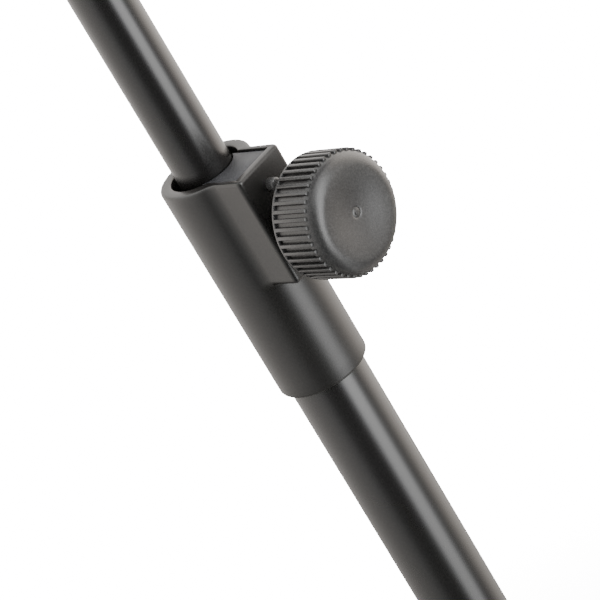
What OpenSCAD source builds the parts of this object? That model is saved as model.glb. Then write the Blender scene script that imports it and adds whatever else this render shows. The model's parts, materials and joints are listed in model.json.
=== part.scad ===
// Music stand: folding tripod, two-piece telescopic column with a side clamp, and a tilting sheet-steel desk.
// Millimetres. +Z is up, the column stands on the Z axis, the feet stand on z = 0, and the player sits at -Y.

/* [Column] */
// Outer diameter of the lower tube
lower_tube_d = 25; // [22:0.5:30]
// Wall of the lower tube
lower_tube_wall = 1.5; // [1:0.1:2]
// Length of the lower tube
lower_tube_len = 579; // [480:1:700]
// Radial gap between the lower tube's bore and the upper tube
tube_play = 2; // [1.5:0.1:2.6]
// Wall of the upper tube
upper_tube_wall = 1.2; // [0.8:0.1:2]
// Length of the upper tube
upper_tube_len = 560; // [440:1:700]
// How far the upper tube reaches down below the top of the lower tube, as set
tube_overlap = 190; // [120:1:300]

/* [Height clamp] */
// Wall of the clamp collar round the lower tube
collar_wall = 2.5; // [2:0.1:4]
// Height of the clamp collar
collar_len = 76.5; // [70:0.5:95]
// Length of the lower tube that sits in the collar
collar_grip = 37; // [25:0.5:38]
// Radial gap between the upper tube and the collar's mouth
mouth_gap = 2.2; // [1.8:0.1:2.8]
// Width of the clamp housing on the collar's side
housing_w = 20; // [19:0.5:24]
// How far the housing's front face stands out of the collar
housing_out = 8.5; // [7.5:0.5:14]
// Height of the clamp housing, down from the collar's rim
housing_len = 37; // [32:0.5:38]
// Thickness of the housing's side walls and floor
housing_wall = 2; // [1.5:0.1:2.6]
// Thickness of the housing's front wall
housing_front = 3; // [2.5:0.1:4]
// Diameter of the threaded nose on the housing's front
nose_d = 15; // [13:0.5:18]
// Length of the threaded nose
nose_len = 8; // [5:0.5:9]
// Height of the clamp screw's axis below the collar's rim
screw_drop = 19.5; // [16:0.5:23]
// Diameter of the keeper pin in the housing's front wall
keeper_d = 4; // [2:0.5:5]

/* [Knobs] */
// Diameter of the knobs over the ribs
knob_d = 37.5; // [31:0.5:42]
// Length of the ribbed band
knob_band = 13.5; // [10:0.5:18]
// How far the knob's face stands in front of the band
knob_face = 3.2; // [2:0.1:4]
// Radius of the knob's round shoulder
knob_shoulder = 4.5; // [2.5:0.1:5]
// Number of ribs round a knob
knob_ribs = 46; // [30:1:60]
// Depth of the grooves between the ribs
knob_groove = 0.7; // [0.4:0.1:1.2]
// Diameter of the clamping screws
screw_d = 8; // [6:0.5:8]
// Gap between a knob's back and what it turns in front of
knob_gap = 3.9; // [2:0.1:6]

/* [Tripod] */
// Angle of a leg from vertical when it stands
leg_angle = 62; // [55:0.5:66]
// Distance from the column's axis to the end of a leg's steel channel
leg_reach = 287; // [240:1:345]
// Radius of the leg and strut pivots from the column's axis
pivot_r = 26; // [25.5:0.5:32]
// Outside width of a leg's channel
leg_w = 18; // [17:0.5:22]
// Thickness of the steel that legs and struts are folded from
channel_wall = 1.5; // [1.2:0.1:2]
// Diameter of the pivot pins
pin_d = 5; // [4:0.5:5]

/* [Desk] */
// Width of the desk
desk_w = 500; // [460:1:560]
// Height of the desk panel, along its slope
desk_h = 340; // [300:1:400]
// Thickness of the desk's sheet steel
sheet = 1.5; // [1:0.1:2]
// Depth of the ledge that the music stands on
ledge_depth = 55; // [40:1:70]
// Height of the ledge's turned-up front edge
ledge_edge = 9; // [6:0.5:15]
// Lean of the desk back from vertical, as set
desk_lean = 22; // [10:1:40]
// Diameter of the panel's round perforations
hole_d = 14; // [8:0.5:18]
// Distance between the perforations
hole_pitch = 40; // [30:1:50]

/* [Hidden] */
$fn = 96;
eps = 0.01;

// Clearances
seat_gap = 0.05;   // radial, between pieces that don't move on each other
run_gap = 0.1;     // radial, between a pin or screw and the hole it turns in
slide_gap = 0.2;   // radial, between pieces that slide on each other
side_gap = 0.3;    // beside a piece that turns or slides between two walls

// Column
hub_bottom = 9;
hub_floor = 8;
tube_bottom = hub_bottom + hub_floor;
lower_tube_id = lower_tube_d - 2 * lower_tube_wall;
upper_tube_d = lower_tube_id - 2 * tube_play;
upper_tube_id = upper_tube_d - 2 * upper_tube_wall;
tube_top = tube_bottom + lower_tube_len;
plug_len = 20;
plug_screw_d = 6;
upper_bottom = tube_top - tube_overlap;
upper_top = upper_bottom + upper_tube_len;

// Height clamp
collar_d = lower_tube_d + 2 * collar_wall;
collar_mouth_d = upper_tube_d + 2 * mouth_gap;
housing_reach = collar_d / 2 + housing_out;
collar_z = tube_top - collar_grip;
rim_z = collar_z + collar_len;
rim_chamfer = 1;
housing_z = rim_z - housing_len;
housing_corner = 2;
pocket_w = housing_w - 2 * housing_wall;
pocket_front = housing_reach - housing_front;
pocket_z = housing_z + housing_wall + 1;
screw_z = rim_z - screw_drop;
nose_front = housing_reach + nose_len;
block_gap = 0.35;
block_back_gap = 0.8;
block_top = rim_z - 0.6;
block_front = pocket_front - block_back_gap;
liner_len = 28;
keeper_z = rim_z - 7.5;
keeper_out = 3;
knob_back = nose_front + knob_gap;

// Tripod
leg_turns = [90, 210, 330];
hub_r = 19;
hub_top = 48;
slider_bore_d = lower_tube_d + 2 * slide_gap;
hub_pivot_z = 30;
foot_z = 11;
leg_len = (leg_reach - pivot_r) / sin(leg_angle);
slider_z = foot_z + leg_len * cos(leg_angle);
strut_len = (slider_z - hub_pivot_z) / (2 * cos(leg_angle));
slider_up = 18;
slider_down = 24;
slider_turn = 270;
slider_screw_z = slider_z - 3;
leg_web = 6;
leg_open = 5;
leg_end_r = 5.5;
strut_r = 4.2;
leg_inner_w = leg_w - 2 * channel_wall;
strut_w = leg_inner_w - 2 * side_gap;
strut_inner_w = strut_w - 2 * channel_wall;
lug_r = 4;
hub_lug_w = strut_inner_w - 2 * side_gap;
slider_lug_w = leg_inner_w - 2 * side_gap;
rivet_head_d = pin_d + 4;
rivet_head_h = 1.6;
foot_wall = 2.2;
foot_over = 24;
foot_tip = 4;
foot_sole = 20;

// Desk
head_wall = 3.5;
head_d = upper_tube_d + 2 * head_wall;
head_depth = 34;
head_len = 42;
barrel_d = 25;
barrel_w = 26;
tilt_z = upper_top - head_depth + head_len + barrel_d / 2 + 3;
washer_h = 1.5;
washer_d = 22;
bracket_t = 2;
bracket_in = barrel_w / 2 + washer_h + seat_gap;
bracket_r = 14;
desk_off = 27;
bracket_w = 76;
bracket_h = 84;
panel_below = 165;
flange = 9;
panel_face = -desk_off - bracket_t - sheet;
hole_margin = 40;
rivet_d = 5;
bracket_rivet_x = 29;
bracket_rivet_z = 32;
ledge_lap = 16;
ledge_rivet_count = 5;
ledge_rivet_pitch = 108;

// Shapes used more than once

module tube(d, wall, len) {
    difference() {
        cylinder(d = d, h = len);
        translate([0, 0, -eps]) cylinder(d = d - 2 * wall, h = len + 2 * eps);
    }
}

// A cylinder along +Y, +X or -Y from the origin
module rod_y(d, len) rotate([-90, 0, 0]) cylinder(d = d, h = len);
module rod_x(d, len) rotate([0, 90, 0]) cylinder(d = d, h = len);
module rod_front(d, len) rotate([90, 0, 0]) cylinder(d = d, h = len);

// A flat bar with round ends, its holes one bar length apart on X
module bar_outline(len, r) {
    circle(r = r);
    translate([len, 0]) circle(r = r);
    translate([0, -r]) square([len, 2 * r]);
}

// Stands a profile drawn in radius and height on the X side of the column, w thick across the radius
module upright(w) translate([0, w / 2, 0]) rotate([90, 0, 0]) linear_extrude(w) children();

// A headed pin across the radius, len between its heads
module cross_pin(d, len, head) {
    translate([0, -len / 2, 0]) rod_y(d, len);
    for (side = [0, 1]) mirror([0, side, 0]) translate([0, len / 2, 0]) rod_y(head, rivet_head_h);
}

// The knob's ribbed outline: flat-topped ribs with straight grooves between them
module ribbed_outline(d) {
    pitch = 360 / knob_ribs;
    difference() {
        circle(d = d);
        for (i = [0 : knob_ribs - 1])
            rotate(i * pitch) translate([d / 2 - knob_groove, -d * PI / knob_ribs / 5])
                square([2 * knob_groove, d * PI / knob_ribs / 2.5]);
    }
}

// A knob that points along -Y, with its back face at the origin
module knob(d, bore_d, bore_len) {
    rim = 1;
    rotate([90, 0, 0]) difference() {
        union() {
            cylinder(d1 = d - 1.2, d2 = d - 0.2, h = rim);
            translate([0, 0, rim]) linear_extrude(knob_band - rim) ribbed_outline(d);
            rotate_extrude() translate([0, rim]) knob_core_outline(d / 2 - knob_groove - 0.15, knob_band + knob_face - rim);
        }
        translate([0, 0, -eps]) cylinder(d = d - 10, h = 4);
        translate([0, 0, -eps]) cylinder(d = bore_d, h = bore_len);
    }
    difference() {
        rod_front(16, 4);
        translate([0, eps, 0]) rod_front(bore_d, 5);
    }
}

// Half of the knob's core: straight, then a round shoulder up to a face that lies a little below its edge
module knob_core_outline(r, h) {
    square([r, h - knob_shoulder]);
    square([r - knob_shoulder, h - 0.6]);
    translate([r - knob_shoulder, h - knob_shoulder]) intersection() {
        circle(r = knob_shoulder);
        square(knob_shoulder);
    }
}

// The column

module lower_tube() color([0.1, 0.1, 0.1])
    translate([0, 0, tube_bottom]) tube(lower_tube_d, lower_tube_wall, lower_tube_len);

module tube_plug() color([0.25, 0.25, 0.25])
    translate([0, 0, tube_bottom]) difference() {
        cylinder(d = lower_tube_id - 2 * seat_gap, h = plug_len);
        translate([0, 0, -eps]) cylinder(d = plug_screw_d, h = plug_len + 2 * eps);
    }

module base_hub() color([0.12, 0.12, 0.12])
    difference() {
        union() {
            translate([0, 0, hub_bottom]) cylinder(r1 = hub_r - 1.5, r2 = hub_r, h = 1.5);
            translate([0, 0, hub_bottom + 1.5]) cylinder(r = hub_r, h = hub_top - hub_bottom - 3);
            translate([0, 0, hub_top - 1.5]) cylinder(r1 = hub_r, r2 = hub_r - 1.5, h = 1.5);
            for (a = leg_turns) rotate(a) upright(hub_lug_w) lug_outline(hub_r, hub_pivot_z, 11);
        }
        translate([0, 0, tube_bottom]) cylinder(d = lower_tube_d + 2 * seat_gap, h = hub_top);
        translate([0, 0, hub_bottom - eps]) cylinder(d = plug_screw_d + 2 * run_gap, h = hub_floor + 1);
        translate([0, 0, hub_bottom - eps]) cylinder(d = 11, h = 5 + eps);
        for (a = leg_turns) rotate(a) translate([pivot_r, -hub_lug_w, hub_pivot_z]) rod_y(pin_d + 2 * seat_gap, 2 * hub_lug_w);
    }

// A lug drawn in radius and height: a round eye on a root that widens to the body it grows from
module lug_outline(body_r, z, root) {
    translate([pivot_r, z]) circle(r = lug_r);
    polygon([
        [body_r - 3, z - root], [body_r - 0.5, z - root], [pivot_r, z - lug_r],
        [pivot_r, z + lug_r], [body_r - 0.5, z + root], [body_r - 3, z + root]
    ]);
}

module hub_screw() color([0.7, 0.7, 0.72]) {
    translate([0, 0, hub_bottom + 0.8]) difference() {
        cylinder(d = 10, h = 4.2);
        translate([0, 0, -eps]) cylinder(d = 5.8, h = 2.6, $fn = 6);
    }
    translate([0, 0, hub_bottom + 5]) cylinder(d = plug_screw_d - 2 * seat_gap, h = 18);
}

module hub_pins() color([0.7, 0.7, 0.72])
    for (a = leg_turns) rotate(a) translate([pivot_r, 0, hub_pivot_z]) cross_pin(pin_d, strut_w + 2 * seat_gap, rivet_head_d - 1);

// The height clamp

// The collar with its housing, seen from above
module housing_outline(reach, w, corner) {
    difference() {
        translate([-w / 2, -reach]) square([w, reach]);
        for (side = [-1, 1]) translate([side * w / 2, -reach]) circle(r = corner);
    }
    for (side = [-1, 1]) translate([side * (w / 2 - corner), -reach + corner]) circle(r = corner);
}

module clamp_collar() color([0.13, 0.13, 0.13])
    difference() {
        union() {
            translate([0, 0, collar_z]) cylinder(d1 = collar_d - 2 * rim_chamfer, d2 = collar_d, h = rim_chamfer);
            translate([0, 0, collar_z + rim_chamfer]) cylinder(d = collar_d, h = collar_len - 2 * rim_chamfer);
            translate([0, 0, rim_z - rim_chamfer]) cylinder(d1 = collar_d, d2 = collar_d - 2 * rim_chamfer, h = rim_chamfer);
            translate([0, 0, housing_z]) linear_extrude(housing_len - 0.4) housing_outline(housing_reach, housing_w, housing_corner);
            translate([0, -housing_reach + eps, screw_z]) rod_front(nose_d, nose_len);
        }
        translate([0, 0, collar_z - eps]) cylinder(d = lower_tube_d + 2 * seat_gap, h = collar_grip + 2 * eps);
        translate([0, 0, collar_z]) cylinder(d = collar_mouth_d, h = collar_len + eps);
        translate([-pocket_w / 2, -pocket_front, pocket_z]) cube([pocket_w, pocket_front, housing_len]);
        translate([0, -pocket_front + 1, screw_z]) rod_front(screw_d + 2 * run_gap, housing_front + nose_len + 2);
        translate([0, 0, collar_z + collar_grip / 2]) rod_y(4 + 2 * seat_gap, collar_d);
        translate([0, -pocket_front + 1, keeper_z]) rod_front(keeper_d + 2 * seat_gap, housing_front + 2);
    }

// A plastic liner that guides the upper tube, open where the clamp block reaches through
module guide_liner() color([0.2, 0.2, 0.2])
    translate([0, 0, tube_top + seat_gap]) difference() {
        cylinder(d = collar_mouth_d - 2 * seat_gap, h = liner_len);
        translate([0, 0, -eps]) cylinder(d = upper_tube_d + 2 * slide_gap, h = liner_len + 2 * eps);
        translate([-pocket_w / 2 - side_gap, -collar_d, -eps]) cube([pocket_w + 2 * side_gap, collar_d, liner_len + 2 * eps]);
    }

// A grub screw at the back that keeps the collar on the lower tube
module collar_pin() color([0.2, 0.2, 0.2])
    translate([0, lower_tube_d / 2 + seat_gap, collar_z + collar_grip / 2]) difference() {
        rod_y(4, collar_d / 2 - lower_tube_d / 2 - 0.3);
        translate([0, 1.2, 0]) rotate([-90, 0, 0]) cylinder(d = 2.3, h = 3, $fn = 6);
    }

// A pin through the housing's front wall, above the screw
module keeper_pin() color([0.35, 0.35, 0.37])
    translate([0, -pocket_front, keeper_z]) rod_front(keeper_d, housing_front + keeper_out);

module clamp_block() color([0.2, 0.2, 0.22])
    difference() {
        translate([-pocket_w / 2 + side_gap, -block_front, pocket_z + side_gap])
            cube([pocket_w - 2 * side_gap, block_front - 4, block_top - pocket_z - side_gap]);
        cylinder(d = upper_tube_d + 2 * block_gap, h = 2 * rim_z);
    }

module clamp_screw() color([0.6, 0.6, 0.62])
    translate([0, -block_front - seat_gap, screw_z]) rod_front(screw_d, knob_back + knob_band - block_front - 3);

module clamp_knob() color([0.12, 0.12, 0.12])
    translate([0, -knob_back, screw_z]) knob(knob_d, screw_d + 2 * seat_gap, knob_band - 2);

// The upper tube

// A plastic ring that runs in the lower tube and carries the upper tube's end
module tube_glide() color([0.8, 0.8, 0.78])
    translate([0, 0, upper_bottom - 14]) {
        cylinder(d = lower_tube_id - 2 * slide_gap, h = 14 - side_gap);
        cylinder(d = upper_tube_id - 2 * run_gap, h = 26);
    }

module upper_tube() color([0.1, 0.1, 0.1])
    translate([0, 0, upper_bottom]) tube(upper_tube_d, upper_tube_wall, upper_tube_len);

module tilt_head() color([0.12, 0.12, 0.12])
    difference() {
        union() {
            translate([0, 0, upper_top - head_depth]) cylinder(d1 = head_d - 2, d2 = head_d, h = 1);
            translate([0, 0, upper_top - head_depth + 1]) cylinder(d = head_d, h = head_len - 1);
            translate([-barrel_w / 2, 0, tilt_z]) rod_x(barrel_d, barrel_w);
            translate([-barrel_w / 2 + 2, -barrel_d / 2 + 1.5, upper_top + 4]) cube([barrel_w - 4, barrel_d - 3, tilt_z - upper_top - 4]);
        }
        translate([0, 0, upper_top - head_depth - eps]) cylinder(d = upper_tube_d + 2 * seat_gap, h = head_depth + 2 * seat_gap);
        translate([-barrel_w, 0, tilt_z]) rod_x(screw_d + 2 * run_gap, 2 * barrel_w);
        translate([0, 0, upper_top - head_depth / 2]) rod_y(5 + 2 * seat_gap, head_d);
    }

module head_grub() color([0.2, 0.2, 0.2])
    translate([0, upper_tube_d / 2 + seat_gap, upper_top - head_depth / 2]) difference() {
        rod_y(5, (head_d - upper_tube_d) / 2 - 0.4);
        translate([0, 1.4, 0]) rotate([-90, 0, 0]) cylinder(d = 2.9, h = 4, $fn = 6);
    }

// The tripod

// Puts a piece drawn along +X at a pivot on the column, sloping up by angle
module on_pivot(turn, z, angle) rotate(turn) translate([pivot_r, 0, z]) rotate([0, -angle, 0]) children();

module strut(turn) color([0.11, 0.11, 0.11])
    on_pivot(turn, hub_pivot_z, 90 - leg_angle) difference() {
        union() {
            for (side = [-1, 1]) translate([0, side * (strut_w - channel_wall) / 2, 0])
                upright(channel_wall) bar_outline(strut_len, strut_r);
            translate([13, -strut_w / 2, -strut_r]) cube([strut_len - 26, strut_w, channel_wall]);
        }
        for (x = [0, strut_len]) translate([x, -strut_w, 0]) rod_y(pin_d + 2 * run_gap, 2 * strut_w);
    }

// A leg's channel, open underneath. Its outline is drawn along +X with the foot end at leg_len
module leg_cheek() {
    circle(r = leg_end_r);
    translate([0, -leg_open]) square([leg_len, leg_open + leg_web]);
}

module leg(turn) color([0.11, 0.11, 0.11])
    on_pivot(turn, slider_z, leg_angle - 90) difference() {
        union() {
            for (side = [-1, 1]) translate([0, side * (leg_w - channel_wall) / 2, 0]) upright(channel_wall) leg_cheek();
            translate([2, -leg_w / 2, leg_web - channel_wall]) cube([leg_len - 2, leg_w, channel_wall]);
        }
        for (x = [0, strut_len]) translate([x, -leg_w, 0]) rod_y(pin_d + 2 * run_gap, 2 * leg_w);
    }

module leg_rivet(turn) color([0.7, 0.7, 0.72])
    on_pivot(turn, slider_z, leg_angle - 90) translate([strut_len, 0, 0]) cross_pin(pin_d, leg_w + 2 * seat_gap, rivet_head_d);

// A rubber boot over the leg's end, with a flat sole on the floor
module foot(turn) color([0.08, 0.08, 0.08])
    difference() {
        union() {
            on_pivot(turn, slider_z, leg_angle - 90)
                translate([leg_len - foot_over, -leg_w / 2 - foot_wall, -leg_open - foot_wall])
                    cube([foot_over + foot_tip, leg_w + 2 * foot_wall, leg_open + leg_web + 2 * foot_wall]);
            rotate(turn) translate([leg_reach, 0, 0]) foot_sole_block();
        }
        on_pivot(turn, slider_z, leg_angle - 90)
            translate([leg_len - foot_over - eps, -leg_w / 2 - seat_gap, -leg_open - seat_gap])
                cube([foot_over + seat_gap, leg_w + 2 * seat_gap, leg_open + leg_web + 2 * seat_gap]);
        rotate(turn) translate([0, -50, -100]) cube([500, 100, 100]);
    }

module foot_sole_block() translate([-foot_sole / 2, -leg_w / 2 - foot_wall, 0]) cube([foot_sole, leg_w + 2 * foot_wall, foot_z]);

module slider() color([0.12, 0.12, 0.12])
    difference() {
        union() {
            translate([0, 0, slider_z - slider_down]) cylinder(r1 = hub_r - 1.5, r2 = hub_r, h = 1.5);
            translate([0, 0, slider_z - slider_down + 1.5]) cylinder(r = hub_r, h = slider_down + slider_up - 3);
            translate([0, 0, slider_z + slider_up - 1.5]) cylinder(r1 = hub_r, r2 = hub_r - 1.5, h = 1.5);
            for (a = leg_turns) rotate(a) upright(slider_lug_w) lug_outline(hub_r, slider_z, 11);
            rotate(slider_turn) translate([lower_tube_d / 2 + 2, 0, slider_screw_z]) rod_x(nose_d + 2, slider_nose - lower_tube_d / 2 - 2);
        }
        translate([0, 0, slider_z - slider_down - eps]) cylinder(d = slider_bore_d, h = slider_down + slider_up + 2 * eps);
        for (a = leg_turns) rotate(a) translate([pivot_r, -slider_lug_w, slider_z]) rod_y(pin_d + 2 * seat_gap, 2 * slider_lug_w);
        rotate(slider_turn) translate([5, 0, slider_screw_z]) rod_x(screw_d + 2 * run_gap, slider_nose);
    }

// The lock screw's nose ends here, and its knob stands in front
slider_nose = hub_r + 8;
pad_len = 3;
pad_r = lower_tube_d / 2 + block_gap;

module slider_pins() color([0.7, 0.7, 0.72])
    for (a = leg_turns) rotate(a) translate([pivot_r, 0, slider_z]) cross_pin(pin_d, leg_w + 2 * seat_gap, rivet_head_d);

module slider_pad() color([0.75, 0.6, 0.3])
    rotate(slider_turn) translate([pad_r, 0, slider_screw_z]) rod_x(screw_d - 2 * seat_gap, pad_len);

module slider_screw() color([0.6, 0.6, 0.62])
    rotate(slider_turn) translate([pad_r + pad_len + seat_gap, 0, slider_screw_z])
        rod_x(screw_d, slider_nose + knob_gap + knob_band - 3 - pad_r - pad_len);

module slider_knob() color([0.12, 0.12, 0.12])
    rotate(slider_turn + 90) translate([0, -slider_nose - knob_gap, slider_screw_z]) knob(knob_d - 6, screw_d + 2 * seat_gap, knob_band - 2);

// The desk, drawn upright round its tilt axis and then leant back

module on_desk() translate([0, 0, tilt_z]) rotate([-desk_lean, 0, 0]) children();

panel_low = -panel_below;
panel_high = desk_h - panel_below;
hole_cols = floor((desk_w - 2 * hole_margin) / hole_pitch / 2);
hole_rows = floor((desk_h - 2 * hole_margin - ledge_lap) / hole_pitch);
hole_low = panel_low + ledge_lap + (desk_h - ledge_lap - hole_rows * hole_pitch) / 2;

// A perforation is left out where the bracket is riveted on
function keeps_hole(x, z) = abs(x) > bracket_w / 2 + hole_d / 2 + 2 || abs(z) > bracket_h / 2 + hole_d / 2 + 2;

module desk_panel() color([0.1, 0.1, 0.1])
    on_desk() difference() {
        translate([-desk_w / 2, panel_face, panel_low]) {
            cube([desk_w, sheet, desk_h]);
            for (x = [0, desk_w - sheet]) translate([x, 0, 0]) cube([sheet, flange, desk_h]);
            translate([0, 0, desk_h - sheet]) cube([desk_w, flange, sheet]);
        }
        for (i = [-hole_cols : hole_cols], j = [0 : hole_rows])
            if (keeps_hole(i * hole_pitch, hole_low + j * hole_pitch))
                translate([i * hole_pitch, panel_face - 1, hole_low + j * hole_pitch]) rod_y(hole_d, sheet + 2);
        for (x = [-1, 1], z = [-1, 1])
            translate([x * bracket_rivet_x, panel_face - 1, z * bracket_rivet_z]) rod_y(rivet_d + 2 * seat_gap, sheet + 2);
        ledge_rivet_places() rod_y(rivet_d - 1 + 2 * seat_gap, sheet + 2);
    }

module ledge_rivet_places()
    for (i = [0 : ledge_rivet_count - 1])
        translate([(i - (ledge_rivet_count - 1) / 2) * ledge_rivet_pitch, panel_face - 1, panel_low + ledge_lap / 2]) children();

// The ledge is a folded angle: a lap behind the panel's foot, the shelf, and a turned-up edge
module music_ledge() color([0.1, 0.1, 0.1])
    on_desk() difference() {
        translate([-desk_w / 2 + sheet + side_gap, 0, 0]) {
            ledge_w = desk_w - 2 * sheet - 2 * side_gap;
            translate([0, panel_face + sheet, panel_low - sheet - seat_gap]) cube([ledge_w, sheet, ledge_lap + sheet]);
            translate([0, panel_face + sheet - ledge_depth, panel_low - sheet - seat_gap]) cube([ledge_w, ledge_depth + eps, sheet]);
            translate([0, panel_face + sheet - ledge_depth, panel_low - sheet - seat_gap]) cube([ledge_w, sheet, ledge_edge]);
        }
        ledge_rivet_places() rod_y(rivet_d - 1 + 2 * seat_gap, 3 * sheet + 2);
    }

module ledge_rivets() color([0.1, 0.1, 0.1])
    on_desk() ledge_rivet_places() {
        translate([0, 1 - seat_gap, 0]) mirror([0, 1, 0]) rivet_head(7, 1.2);
        translate([0, 1 - seat_gap, 0]) rod_y(rivet_d - 1, 2 * sheet + 2 * seat_gap);
        translate([0, 1 + 2 * sheet + seat_gap, 0]) rivet_head(7, 1.2);
    }

// A low round rivet head that stands along +Y on its flat
module rivet_head(d, h) {
    r = (d * d / 4 + h * h) / (2 * h);
    rotate([-90, 0, 0]) rotate_extrude() intersection() {
        translate([0, h - r]) circle(r = r);
        square([d / 2, h]);
    }
}

module desk_bracket() color([0.12, 0.12, 0.12])
    on_desk() difference() {
        union() {
            translate([-bracket_w / 2, -desk_off - bracket_t, -bracket_h / 2]) cube([bracket_w, bracket_t, bracket_h]);
            for (side = [-1, 1]) translate([side * (bracket_in + bracket_t / 2) - bracket_t / 2, 0, 0]) {
                rod_x(2 * bracket_r, bracket_t);
                translate([0, -desk_off - eps, -bracket_r]) cube([bracket_t, desk_off, 2 * bracket_r]);
            }
        }
        translate([-bracket_w, 0, 0]) rod_x(screw_d + 2 * seat_gap, 2 * bracket_w);
        for (x = [-1, 1], z = [-1, 1])
            translate([x * bracket_rivet_x, -desk_off - bracket_t - 1, z * bracket_rivet_z]) rod_y(rivet_d + 2 * seat_gap, bracket_t + 2);
    }

module bracket_rivets() color([0.1, 0.1, 0.1])
    on_desk() for (x = [-1, 1], z = [-1, 1]) translate([x * bracket_rivet_x, panel_face, z * bracket_rivet_z]) {
        translate([0, -seat_gap, 0]) mirror([0, 1, 0]) rivet_head(10, 1.8);
        translate([0, -seat_gap, 0]) rod_y(rivet_d, sheet + bracket_t + 2 * seat_gap);
        translate([0, sheet + bracket_t + seat_gap, 0]) rivet_head(10, 1.8);
    }

bolt_out = bracket_in + bracket_t;
knob_bottom = bolt_out + washer_h + 2 * seat_gap;

module tilt_bolt() color([0.6, 0.6, 0.62])
    translate([0, 0, tilt_z]) {
        translate([-bolt_out - seat_gap, 0, 0]) rod_x(screw_d, bolt_out + knob_bottom + knob_band - 3);
        translate([-bolt_out - seat_gap, 0, 0]) rotate([0, 0, 90]) rivet_head(19, 4);
    }

module tilt_washers() color([0.2, 0.2, 0.2])
    for (side = [-1, 1]) translate([side * (barrel_w / 2 + washer_h / 2 + seat_gap / 2) - washer_h / 2, 0, tilt_z]) difference() {
        rod_x(washer_d, washer_h);
        translate([-eps, 0, 0]) rod_x(screw_d + 2 * run_gap, washer_h + 2 * eps);
    }

module press_washer() color([0.7, 0.7, 0.72])
    translate([bolt_out + seat_gap, 0, tilt_z]) difference() {
        rod_x(18, washer_h);
        translate([-eps, 0, 0]) rod_x(screw_d + 2 * run_gap, washer_h + 2 * eps);
    }

module tilt_knob() color([0.12, 0.12, 0.12])
    translate([knob_bottom, 0, tilt_z]) rotate(90) knob(knob_d - 6, 11 + 2 * seat_gap, knob_band - 2);

// The brass thread insert moulded into the tilt knob
module tilt_insert() color([0.75, 0.6, 0.3])
    translate([knob_bottom + seat_gap, 0, tilt_z]) difference() {
        rod_x(11, knob_band - 2.2);
        translate([-eps, 0, 0]) rod_x(screw_d + 2 * run_gap, knob_band);
    }

lower_tube();
tube_plug();
base_hub();
hub_screw();
hub_pins();
clamp_collar();
guide_liner();
collar_pin();
keeper_pin();
tube_glide();
upper_tube();
tilt_head();
head_grub();
clamp_block();
clamp_screw();
clamp_knob();
strut(leg_turns[0]);  // strut_1
leg(leg_turns[0]);  // leg_1
leg_rivet(leg_turns[0]);  // leg_rivet_1
foot(leg_turns[0]);  // foot_1
strut(leg_turns[1]);  // strut_2
leg(leg_turns[1]);  // leg_2
leg_rivet(leg_turns[1]);  // leg_rivet_2
foot(leg_turns[1]);  // foot_2
strut(leg_turns[2]);  // strut_3
leg(leg_turns[2]);  // leg_3
leg_rivet(leg_turns[2]);  // leg_rivet_3
foot(leg_turns[2]);  // foot_3
slider();
slider_pins();
slider_pad();
slider_screw();
slider_knob();
desk_panel();
music_ledge();
ledge_rivets();
desk_bracket();
bracket_rivets();
tilt_bolt();
tilt_washers();
press_washer();
tilt_knob();
tilt_insert();
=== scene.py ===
"""Music stand: tubes, side clamp with its ribbed knob, folding tripod and perforated desk.

Painted steel and moulded plastic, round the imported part's own bodies.
"""

import json
import math

import bmesh
import bpy
import numpy as np
from mathutils import Matrix, Vector


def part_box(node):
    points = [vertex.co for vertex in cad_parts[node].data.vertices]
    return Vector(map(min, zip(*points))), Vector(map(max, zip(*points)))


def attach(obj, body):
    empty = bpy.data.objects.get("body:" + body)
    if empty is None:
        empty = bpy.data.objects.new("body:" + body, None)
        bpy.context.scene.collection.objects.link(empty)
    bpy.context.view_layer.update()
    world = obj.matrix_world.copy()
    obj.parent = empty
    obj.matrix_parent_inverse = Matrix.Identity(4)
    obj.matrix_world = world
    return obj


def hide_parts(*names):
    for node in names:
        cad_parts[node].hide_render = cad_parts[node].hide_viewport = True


MM = 0.001

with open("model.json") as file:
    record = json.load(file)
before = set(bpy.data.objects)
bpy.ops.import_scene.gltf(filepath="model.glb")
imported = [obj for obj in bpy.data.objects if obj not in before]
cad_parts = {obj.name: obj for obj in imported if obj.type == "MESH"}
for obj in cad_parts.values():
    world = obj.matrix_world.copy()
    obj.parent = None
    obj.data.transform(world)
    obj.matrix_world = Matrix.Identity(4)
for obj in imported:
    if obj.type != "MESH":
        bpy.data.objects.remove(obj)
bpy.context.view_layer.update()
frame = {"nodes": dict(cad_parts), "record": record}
slots = {s["node"]: s["material_slot"] for s in frame["record"]["subparts"]}

# ---------------------------------------------------------------- camera

collar_low, collar_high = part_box("clamp_collar")
CAMERA_AZIMUTH = math.radians(-37.38)
CAMERA_HEIGHT = math.radians(24.84)
CAMERA_ROLL = math.radians(-30.76)
CAMERA_LENS = 155.2
CAMERA_PLACE = Vector((-0.4285, -0.5682, collar_low.z + 0.3532))


def make_camera():
    """A long lens above the clamp and to its left, rolled so that the column leans across the frame."""
    az, el, roll = CAMERA_AZIMUTH, CAMERA_HEIGHT, CAMERA_ROLL
    back = Vector((math.sin(az) * math.cos(el), -math.cos(az) * math.cos(el), math.sin(el)))
    level = Vector((math.cos(az), math.sin(az), 0))
    above = back.cross(level)
    right = level * math.cos(roll) + above * math.sin(roll)
    up = above * math.cos(roll) - level * math.sin(roll)
    data = bpy.data.cameras.new("close_camera")
    data.lens = CAMERA_LENS
    data.sensor_width = 36
    data.clip_end = 50
    camera = bpy.data.objects.new("close_camera", data)
    turn = Matrix((right, up, back)).transposed().to_4x4()
    camera.matrix_world = Matrix.Translation(CAMERA_PLACE) @ turn
    bpy.context.scene.collection.objects.link(camera)
    bpy.context.scene.camera = camera


make_camera()

# ---------------------------------------------------------------- studio


def node(tree, kind, **values):
    made = tree.nodes.new(kind)
    for key, value in values.items():
        setattr(made, key, value)
    return made


def link(tree, a, b):
    tree.links.new(a, b)


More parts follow.
